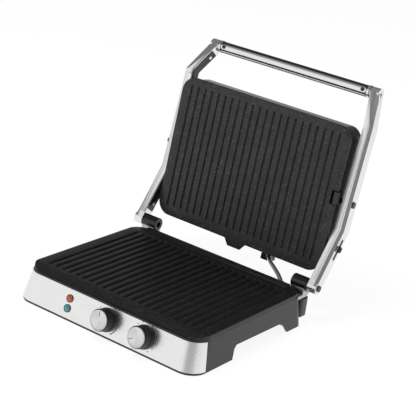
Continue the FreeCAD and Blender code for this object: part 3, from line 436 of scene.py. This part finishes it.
def groove_lines():
    """X places of the grid's lines: close together across each groove, and one between grooves."""
    across = [-3.0, -2.7, -2.4, -2.1, -1.8, -1.5, -1.1, -0.5, 0.5, 1.1, 1.5, 1.8, 2.1, 2.4, 2.7, 3.0]
    centres = [(number - (GROOVE_COUNT - 1) / 2) * GROOVE_PITCH for number in range(GROOVE_COUNT)]
    lines = []
    for centre in centres:
        lines += [centre + step * MM for step in across]
        lines.append(centre + GROOVE_PITCH / 2)
    return [centres[0] - GROOVE_PITCH / 2] + lines


def run_lines(front, rear):
    """Y places of the grid's lines: close together at the grooves' round ends."""
    ends = [-0.9, -0.45, 0, 0.35, 0.7, 1.05, 1.4, 1.8, 2.25, 2.7, 3.3]
    middle = [front + (rear - front) * k / 12 for k in range(1, 12)]
    return [front + step * MM for step in ends] + middle + [rear - step * MM for step in reversed(ends)]


def ribbed(node, to_local, groove_front, groove_rear, rounding):
    """The plate with round-bottomed, round-ended grooves in place of the square-cut ones.

    to_local brings the plate's ribbed face to Z = 0, facing +Z. rounding is what groove_depth takes.
    """
    source = NODES[node]
    work = bmesh.new()
    work.from_mesh(source.data)
    work.transform(to_local)
    bmesh.ops.remove_doubles(work, verts=work.verts, dist=WELD)
    half = GROOVE_PITCH * GROOVE_COUNT / 2
    old = []
    for face in work.faces:
        heights = [v.co.z for v in face.verts]
        flat_top = all(abs(z) < LEVEL for z in heights)
        in_groove = (all(-GROOVE_DEEP - LEVEL < z < LEVEL for z in heights)
                     and all(abs(v.co.x) < half and groove_front - LEVEL < v.co.y < groove_rear + LEVEL
                             for v in face.verts))
        if flat_top or in_groove:
            old.append(face)
    bmesh.ops.delete(work, geom=old, context="FACES")
    rim = [edge for edge in work.edges if edge.is_boundary]
    xs, ys = groove_lines(), run_lines(groove_front, groove_rear)
    grid = []
    for y in ys:
        row = []
        nearest_y = min(max(y, groove_front + GROOVE_HALF), groove_rear - GROOVE_HALF)
        for x in xs:
            number = round(x / GROOVE_PITCH + (GROOVE_COUNT - 1) / 2)
            centre = (min(max(number, 0), GROOVE_COUNT - 1) - (GROOVE_COUNT - 1) / 2) * GROOVE_PITCH
            row.append(work.verts.new((x, y, -groove_depth(math.hypot(x - centre, y - nearest_y), *rounding))))
        grid.append(row)
    for this, following in zip(grid, grid[1:]):
        for a, b, c, d in zip(this, this[1:], following[1:], following):
            work.faces.new((a, b, c, d))
    outline = grid[0] + [row[-1] for row in grid[1:]] + grid[-1][-2::-1] + [row[0] for row in grid[-2:0:-1]]
    border = [work.edges.get(pair) for pair in zip(outline, outline[1:] + outline[:1])]
    bmesh.ops.triangle_fill(work, use_beauty=True, use_dissolve=False, edges=rim + border)
    bmesh.ops.recalc_face_normals(work, faces=work.faces)
    work.transform(to_local.inverted())
    mesh = bpy.data.meshes.new(f"{node}_ribbed")
    work.to_mesh(mesh)
    work.free()
    obj = bpy.data.objects.new(f"{node}_ribbed", mesh)
    bpy.context.scene.collection.objects.link(obj)
    bevel = obj.modifiers.new("edges", "BEVEL")
    bevel.width, bevel.segments, bevel.limit_method = 1.1 * MM, 3, "ANGLE"
    bevel.angle_limit = PLATE_EDGE_ANGLE
    bevel.harden_normals = True
    for face in mesh.polygons:
        face.use_smooth = True
    mesh.set_sharp_from_angle(angle=PLATE_EDGE_ANGLE)
    paint(obj, FINISH[node])
    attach(obj, source["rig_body"])
    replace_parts(obj, node)


LOWER_FACE_HEIGHT = 51 * MM
LID_ORIGIN, LID_LEAN = Vector((0, 106.7, 80.4)) * MM, math.radians(98.2)


def make_plates():
    """The lower plate lies flat; the upper one hangs in the lid, with its ribs the other way up."""
    ribbed("lower_plate", Matrix.Translation((0, 0, -LOWER_FACE_HEIGHT)), -152.5 * MM, 45.5 * MM,
           (0.75 * MM, 1.15 * MM))
    lid = Matrix.Translation(LID_ORIGIN) @ Matrix.Rotation(-LID_LEAN, 4, "X")
    face_up = Matrix.Diagonal((1, -1, -1, 1))
    ribbed("upper_plate", face_up @ lid.inverted(), 0, 190 * MM, (0.1 * MM, 1.75 * MM))


FLUTES, FLUTE_DEEP, FLUTED_FROM, FLUTED_TO = 40, 0.42, 3.6, 15.6
DRUM = [(3.4, 1), (16.4, 1), (16.5, 1.3), (16.5, 2.9), (16.1, 3.4), (15.5, 3.5), (15.5, 3.7), (15.45, 8),
        (15.4, 15.5), (15.3, 15.8), (15.2, 16.6), (14.8, 17.2), (14.3, 17.4), (14.12, 17.2), (14.12, 16.3),
        (3.4, 16.3)]
CAP = [(0.01, 16.4), (14.05, 16.4), (14.05, 18.0), (13.85, 18.5), (13.4, 18.75), (12.9, 18.72), (12.5, 18.4),
       (12.2, 18.3), (6, 18.3), (0.01, 18.3)]
POINTER = [(5.2, -0.42), (11.9, -0.42), (12.1, 0), (11.9, 0.42), (5.2, 0.42), (5.0, 0)]


def fluted(radius, height, angle):
    """The drum's radius, cut by the flutes on its grip."""
    if not (FLUTED_FROM < height < FLUTED_TO and radius > 15):
        return radius
    return radius - FLUTE_DEEP * (0.5 - 0.5 * math.cos(FLUTES * angle)) ** 0.7


def make_knob(word, along, pointer):
    """A fluted drum, its turned metal face and the pointer on it, at a place along the panel."""
    place = on_panel(along, KNOB_RISE)
    body = f"{word}_dial"
    work = bmesh.new()
    lathe(work, DRUM, FLUTES * 8, fluted)
    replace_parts(piece(f"{word}_fluted_knob", work, body, "knob", place), f"{word}_knob")
    work = bmesh.new()
    lathe(work, CAP, 128)
    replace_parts(piece(f"{word}_spun_cap", work, body, "cap", place), f"{word}_knob_cap")
    work = bmesh.new()
    slab_between(work, POINTER, 18.31, 18.42)
    work.transform(Matrix.Rotation(math.radians(pointer), 4, "Z"))
    piece(f"{word}_pointer", work, body, "ink", place)


def make_marks():
    """Printed scales round the knobs: a growing arc for the temperature, dots for the timer."""
    ring, dot, low, high = 19.8, 0.85, 0.012, 0.05
    work = bmesh.new()

    def spot(x, y, radius):
        slab_between(work, [(x + radius * math.cos(math.tau * k / 20), y + radius * math.sin(math.tau * k / 20))
                            for k in range(20)], low, high)

    along = KNOBS["temperature"][0]
    start, end, steps = math.radians(112), math.radians(-56), 48
    spot(along + ring * math.cos(math.radians(140)), KNOB_RISE + ring * math.sin(math.radians(140)), dot)
    inner, outer = [], []
    for k in range(steps + 1):
        angle = start + (end - start) * k / steps
        half = 0.12 + 0.55 * k / steps
        inner.append((along + (ring - half) * math.cos(angle), KNOB_RISE + (ring - half) * math.sin(angle)))
        outer.append((along + (ring + half) * math.cos(angle), KNOB_RISE + (ring + half) * math.sin(angle)))
    slab_between(work, inner + outer[::-1], low, high)
    along = KNOBS["timer"][0]
    for degrees in range(138, -60, -24):
        angle = math.radians(degrees)
        spot(along + ring * math.cos(angle), KNOB_RISE + ring * math.sin(angle), dot)
    piece("panel_scales", work, "base", "ink", on_panel(0, 0))


def offset_run(points, distance):
    """The run of (y, z) points moved sideways, towards the front for a positive distance."""
    moved = []
    for number, (y, z) in enumerate(points):
        sides = []
        for a, b in zip(points, points[1:]):
            if a is points[number] or b is points[number]:
                run = Vector((b[0] - a[0], b[1] - a[1])).normalized()
                sides.append(Vector((-run.y, run.x)))
        mean = sum(sides, Vector((0, 0))).normalized()
        scale = distance / mean.dot(sides[0])
        moved.append((y + mean.x * scale, z + mean.y * scale))
    return moved


TRIM_INNER, TRIM_OUTER, TRIM_PROUD, TRIM_CORNER = 151.8 * MM, 159.6 * MM, 0.55 * MM, 3.9 * MM
TRIM_EDGE, TRIM_STEPS = 0.45 * MM, 9


def make_trim(side, word):
    """A strip let into the inner half of the arm's front, rounded off below the upper bend."""
    low = Vector(HINGE).lerp(Vector(LOWER_BEND), 0.10)
    high = Vector(LOWER_BEND).lerp(Vector(UPPER_BEND), 0.985)
    run = (high - Vector(LOWER_BEND)).normalized()
    rows = [(tuple(low), TRIM_INNER, TRIM_OUTER), (LOWER_BEND, TRIM_INNER, TRIM_OUTER)]
    for k in range(TRIM_STEPS + 1):
        angle = math.radians(90) * k / TRIM_STEPS
        back = TRIM_CORNER * (1 - math.sin(angle))
        shrink = TRIM_CORNER * (1 - math.cos(angle)) * 0.97
        rows.append((tuple(high - run * back), TRIM_INNER + shrink, TRIM_OUTER - shrink))
    line = [row[0] for row in rows]
    under = offset_run(line, ARM_DEEP / 2 - 0.2 * MM)
    crest = offset_run(line, ARM_DEEP / 2 + TRIM_PROUD * 0.45)
    over = offset_run(line, ARM_DEEP / 2 + TRIM_PROUD)
    work = bmesh.new()
    sections = []
    for (_, a, b), u, c, o in zip(rows, under, crest, over):
        inset = min(TRIM_EDGE, (b - a) * 0.4)
        corners = [(a, u), (a, c), (a + inset, o), (b - inset, o), (b, c), (b, u)]
        sections.append([work.verts.new((side * x, y, z)) for x, (y, z) in corners])
    for this, following in zip(sections, sections[1:]):
        for k in range(6):
            work.faces.new((this[k], this[(k + 1) % 6], following[(k + 1) % 6], following[k]))
    work.faces.new(sections[0])
    work.faces.new(sections[-1][::-1])
    # the right arm's strip takes the pale finish, a painted highlight; the left arm's strip keeps the arm's own
    # finish
    piece(f"{word}_arm_trim", work, "arms", "trim" if side > 0 else "arm", smooth=50)


def make_pin_painted_rings():
    """Bright rings under the heads of the hinge and float pins: painted highlights round the pin heads."""
    for word, pin in (("hinge", HINGE), ("float", FLOAT_PIN)):
        for side, name in ((-1, "left"), (1, "right")):
            work = bmesh.new()
            lathe(work, [(4.1, 0.02), (6.2, 0.02), (6.3, 0.12), (6.1, 0.34), (4.1, 0.34)], 64)
            turned_out = Matrix.Rotation(side * math.radians(90), 4, "Y")
            place = Matrix.Translation((side * ARM_OUTER, *pin)) @ turned_out
            piece(f"{name}_{word}_washer", work, "arms", "bright", place)


SLOT_ALONG, SLOT_BACK, SLOT_HALF_WIDE, SLOT_HALF_LONG, SLOT_STEPS = 62.5 * MM, 1.4 * MM, 2.3, 16.5, 16
# each loop of a section: how far past the slot's edge, and how far out of the arm's face, in millimetres
# the pale rim is a painted highlight on the slot's edge, the black lining painted shade inside the slot
SLOT_SECTIONS = (("lock_slot_painted_highlight", "trim", ((0.0, 0.02), (0.0, 0.28), (1.0, 0.28), (1.15, 0.02))),
                 ("lock_slot_painted_shade", "black", ((-0.02, 0.1), (-0.17, 0.1), (-0.17, -14.2), (-0.02, -14.2))))


def make_slot_painted_light():
    """A thin pale rim round the lock lever's slot, a painted highlight on its edge, and a black lining inside it,
    painted shade.
    """
    run = (Vector(LOWER_BEND) - Vector(HINGE)).normalized()
    across = Vector((run.y, -run.x))
    centre = Vector(HINGE) + run * SLOT_ALONG + across * SLOT_BACK
    reach = SLOT_HALF_LONG - SLOT_HALF_WIDE
    for name, finish, section in SLOT_SECTIONS:
        work, loops = bmesh.new(), []
        for grow, out in section:
            loop = []
            for end, first in ((1, -90), (-1, 90)):
                for k in range(SLOT_STEPS + 1):
                    angle = math.radians(first + 180 * k / SLOT_STEPS)
                    u = end * reach + (SLOT_HALF_WIDE + grow) * math.cos(angle)
                    v = (SLOT_HALF_WIDE + grow) * math.sin(angle)
                    y, z = centre + run * u * MM + across * v * MM
                    loop.append(work.verts.new((ARM_OUTER + out * MM, y, z)))
            loops.append(loop)
        for this, following in zip(loops, loops[1:] + loops[:1]):
            for a, b, c, d in zip(this, this[1:] + this[:1], following[1:] + following[:1], following):
                work.faces.new((a, b, c, d))
        piece(name, work, "arms", finish)


# name, first and last angle round the handle in degrees, height above the handle in millimetres, finish
# under the strip, the black line is painted shadow of the strip and the pale band painted reflection of the floor
HANDLE_BANDS = (("handle_upper_band", 121, 148, 0.45, "handle"), ("handle_upper_line", 148, 151, 0.45, "black"),
                ("handle_painted_strip_shadow", 184.5, 203, 0.12, "black"), ("handle_painted_floor_reflection", 203.5, 214, 0.3, "trim"),
                ("handle_under_line", 214.5, 262, 0.12, "black"))
BAND_HALF_LONG, BAND_STEPS = 0.1285, 14


def make_handle_bands():
    """Thin bands along the handle: the dark cover's edge over the strip with a thin black line along it; under the
    strip a black line that is painted shadow of the strip, a pale band that is painted reflection of the floor, and
    black over the underside.
    """
    y0, z0 = TOP
    for name, first, last, out, finish in HANDLE_BANDS:
        rows = []
        for radius, steps in ((HANDLE_RADIUS + out * MM, range(BAND_STEPS + 1)),
                              (HANDLE_RADIUS - 0.1 * MM, range(BAND_STEPS, -1, -1))):
            for k in steps:
                angle = math.radians(first + (last - first) * k / BAND_STEPS)
                rows.append((y0 + radius * math.cos(angle), z0 + radius * math.sin(angle)))
        work = bmesh.new()
        near, far = [[work.verts.new((x, y, z)) for y, z in rows] for x in (-BAND_HALF_LONG, BAND_HALF_LONG)]
        work.faces.new(near)
        work.faces.new(far[::-1])
        for a, b, c, d in zip(near, near[1:] + near[:1], far[1:] + far[:1], far):
            work.faces.new((a, b, c, d))
        piece(name, work, "arms", finish, smooth=40)


CONDUIT_ROUTE = [(117, 62, 40), (109, 76, 45.5), (96, 86, 51), (80, 95.5, 55.3), (66.5, 103.8, 57.9),
                 (58.6, 112.3, 59.4), (52.4, 124.3, 59.4)]
CONDUIT_DIAMETER = 6.5 * MM


def conduit_line():
    """Points along the route's smooth line."""
    curve = bpy.data.curves.new("conduit_route", "CURVE")
    curve.dimensions = "3D"
    spline = curve.splines.new("NURBS")
    spline.points.add(len(CONDUIT_ROUTE) - 1)
    for point, at in zip(spline.points, CONDUIT_ROUTE):
        point.co = (*(Vector(at) * MM), 1)
    spline.order_u = 3
    spline.use_endpoint_u = True
    spline.resolution_u = 12
    holder = bpy.data.objects.new("conduit_route", curve)
    mesh = bpy.data.meshes.new_from_object(holder)
    points = [vertex.co.copy() for vertex in mesh.vertices]
    bpy.data.objects.remove(holder)
    bpy.data.meshes.remove(mesh)
    bpy.data.curves.remove(curve)
    return points


def tube_along(name, points, first_side):
    """A round tube along the points; gives the object and its last cross direction, so that tubes can join."""
    work = bmesh.new()
    turns = [math.tau * k / 28 for k in range(28)]
    side, rings = first_side, []
    for number, at in enumerate(points):
        before, after = points[max(number - 1, 0)], points[min(number + 1, len(points) - 1)]
        along = (after - before).normalized()
        side = (side - along * side.dot(along)).normalized()
        up = along.cross(side)
        rings.append([work.verts.new(at + (side * math.cos(turn) + up * math.sin(turn)) * CONDUIT_DIAMETER / 2)
                      for turn in turns])
    for this, following in zip(rings, rings[1:]):
        for a, b, c, d in zip(this, this[1:] + this[:1], following[1:] + following[:1], following):
            work.faces.new((a, b, c, d))
    work.faces.new(rings[0][::-1])
    work.faces.new(rings[-1])
    return piece(name, work, None, "conduit"), side


def make_conduit():
    """The lid's lead in its sleeve, in two lengths joined end to end."""
    points = conduit_line()
    middle = len(points) // 2
    lower_run, upper_run = points[:middle + 1], points[middle:]
    lower, side = tube_along("conduit_lower", lower_run, Vector((0, 0, 1)))
    upper, side = tube_along("conduit_upper", upper_run, side)
    for tube, run, bodies in ((lower, lower_run, ("base", "arms")), (upper, upper_run, ("arms", "lid"))):
        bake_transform(tube)
    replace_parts(lower, "lid_conduit")


make_plates()
for word, (along, pointer) in KNOBS.items():
    make_knob(word, along, pointer)
make_marks()
for side, word in ((-1, "left"), (1, "right")):
    make_trim(side, word)
make_pin_painted_rings()
make_slot_painted_light()
make_handle_bands()
make_conduit()


# ---------------------------------------------------------------- stage, light and camera

DIM = 0.20                                                     # the studio's level away from the screens
SCREENS = [(-122, 5, 46, 24, 1.0), (-8, 8, 34, 18, 0.85)]      # azimuth, elevation, fade from and to, level
CAMERA_AT, CAMERA_LENS = Vector((1.0347, -1.4970, 0.8231)), 119.69
CAMERA_AZIMUTH, CAMERA_ELEVATION, CAMERA_ROLL = (math.radians(degrees) for degrees in (34.21, 20.44, 7.69))


def make_stage():
    """A wide pale floor."""
    mesh = bpy.data.meshes.new("floor")
    work = bmesh.new()
    bmesh.ops.create_circle(work, cap_ends=True, segments=96, radius=14)
    work.to_mesh(mesh)
    work.free()
    floor = bpy.data.objects.new("floor", mesh)
    bpy.context.scene.collection.objects.link(floor)
    m = Shade("pale_floor", rough=0.9)
    m.color(m.ramp(m.noise(0.8, 2), [(0.3, 0.16), (0.7, 0.17)]))
    m.shader.inputs["Emission Color"].default_value = (1, 1, 1, 1)
    m.shader.inputs["Emission Strength"].default_value = 0.9
    m.shader.inputs["Specular IOR Level"].default_value = 0.0
    floor.data.materials.append(m.material)


def make_world():
    """A dim studio with a pale horizon and two broad white screens: front left, and right."""
    world = bpy.data.worlds.new("studio")
    bpy.context.scene.world = world
    world.use_nodes = True
    tree = world.node_tree
    background = tree.nodes["Background"]
    place = tree.nodes.new("ShaderNodeTexCoord")

    def toward(azimuth, elevation, far, near, level):
        """Light of the level within `near` degrees of a direction, fading to none at `far`."""
        turn, rise = math.radians(azimuth), math.radians(elevation)
        dot = tree.nodes.new("ShaderNodeVectorMath")
        dot.operation = "DOT_PRODUCT"
        tree.links.new(place.outputs["Generated"], dot.inputs[0])
        dot.inputs[1].default_value = (math.cos(turn) * math.cos(rise), math.sin(turn) * math.cos(rise),
                                       math.sin(rise))
        band = tree.nodes.new("ShaderNodeMapRange")
        band.interpolation_type = "SMOOTHSTEP"
        band.inputs["From Min"].default_value = math.cos(math.radians(far))
        band.inputs["From Max"].default_value = math.cos(math.radians(near))
        band.inputs["To Min"].default_value = 0.0
        band.inputs["To Max"].default_value = level
        tree.links.new(dot.outputs["Value"], band.inputs["Value"])
        return band.outputs["Result"]

    split = tree.nodes.new("ShaderNodeSeparateXYZ")
    tree.links.new(place.outputs["Generated"], split.inputs[0])
    rise = tree.nodes.new("ShaderNodeValToRGB")
    tree.links.new(split.outputs["Z"], rise.inputs["Fac"])
    stops = [(0.0, 0.9), (0.05, 0.8), (0.14, DIM), (0.85, DIM), (1.0, 0.5)]
    elements = rise.color_ramp.elements
    while len(elements) < len(stops):
        elements.new(0.5)
    for element, (position, level) in zip(elements, stops):
        element.position = position
        element.color = (level, level, level, 1)
    total = rise.outputs["Color"]
    for screen in SCREENS:
        add = tree.nodes.new("ShaderNodeMath")
        add.operation = "MAXIMUM"
        tree.links.new(total, add.inputs[0])
        tree.links.new(toward(*screen), add.inputs[1])
        total = add.outputs["Value"]
    tree.links.new(total, background.inputs["Color"])
    background.inputs["Strength"].default_value = 1.0


def soft_light(name, at, target, size, power):
    """A broad round lamp that points at the target."""
    data = bpy.data.lights.new(name, "AREA")
    data.shape, data.size, data.energy = "DISK", size, power
    lamp = bpy.data.objects.new(name, data)
    lamp.location = at
    lamp.rotation_euler = (Vector(target) - Vector(at)).to_track_quat("-Z", "Y").to_euler()
    bpy.context.scene.collection.objects.link(lamp)
    lamp.visible_glossy = False       # the metal mirrors the pale screens, not the lamps


def make_camera():
    """The camera, rolled about its own line of sight."""
    azimuth, elevation, roll = CAMERA_AZIMUTH, CAMERA_ELEVATION, CAMERA_ROLL
    back = Vector((math.sin(azimuth) * math.cos(elevation), -math.cos(azimuth) * math.cos(elevation),
                   math.sin(elevation)))
    right = (-back).cross(Vector((0, 0, 1))).normalized()
    up = right.cross(-back)
    turned_right = right * math.cos(roll) + up * math.sin(roll)
    turned_up = up * math.cos(roll) - right * math.sin(roll)
    data = bpy.data.cameras.new("camera")
    data.lens, data.sensor_width = CAMERA_LENS, 36
    camera = bpy.data.objects.new("camera", data)
    matrix = Matrix((turned_right, turned_up, back)).transposed().to_4x4()
    matrix.translation = CAMERA_AT
    camera.matrix_world = matrix
    bpy.context.scene.collection.objects.link(camera)
    bpy.context.scene.camera = camera


make_stage()
make_world()
soft_light("key", (-0.5, -1.0, 2.8), (0, 0, 0.15), 1.4, 34)
soft_light("rear", (0.9, 1.9, 2.0), (0, 0, 0.1), 1.4, 10)
make_camera()
bpy.context.scene.view_settings.view_transform = "Standard"
